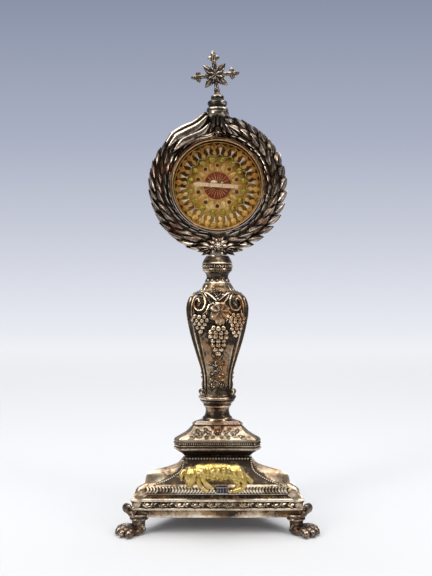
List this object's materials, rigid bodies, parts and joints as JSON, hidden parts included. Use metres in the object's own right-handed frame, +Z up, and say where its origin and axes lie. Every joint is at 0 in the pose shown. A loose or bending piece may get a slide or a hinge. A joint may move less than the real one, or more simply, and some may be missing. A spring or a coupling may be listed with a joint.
{
  "type": "standing reliquary",
  "caption": "Silver standing reliquary: laurel wreath round a glazed relic case on a vase stem, three-sided base on lion paws, small cross on top.",
  "frame": {"origin": "on the floor, under the middle of the overall outline", "axes": "+Z up through the stem, -Y towards the viewer who faces the relic, +X to that viewer's right"},
  "size_m": [0.1408, 0.1244, 0.3374],
  "materials": {
    "base_silver": "worn silver plate with brown patina in the recesses",
    "paw_silver": "dark patinated cast silver, worn bright on the toes",
    "lamb_gilding": "bright worn gilding",
    "book_metal": "blackened metal",
    "stem_silver": "polished embossed silver with dark brown patina",
    "wreath_silver": "dark patinated cast silver with bright leaf edges",
    "case_silver": "plain dull silver",
    "rim_gilding": "polished reddish gilding",
    "window_glass": "clear polished glass",
    "relic_ground": "amber and gilt paper work with beads and gems",
    "label_paper": "aged matt paper",
    "cross_silver": "dark patinated cast silver"
  },
  "bodies": {
    "root": {"lower_base": "base_silver", "upper_base": "base_silver", "paw_foot_left": "paw_silver", "paw_foot_right": "paw_silver", "paw_foot_back": "paw_silver", "lamb": "lamb_gilding", "sealed_book": "book_metal", "stem_foot": "stem_silver", "vase": "stem_silver", "collar": "stem_silver", "wreath": "wreath_silver", "relic_case": "case_silver", "gilt_rim": "rim_gilding", "case_glass": "window_glass", "relic_board": "relic_ground", "relic_label": "label_paper", "finial_socket": "cross_silver", "finial_cross": "cross_silver"}
  },
  "joints": []
}
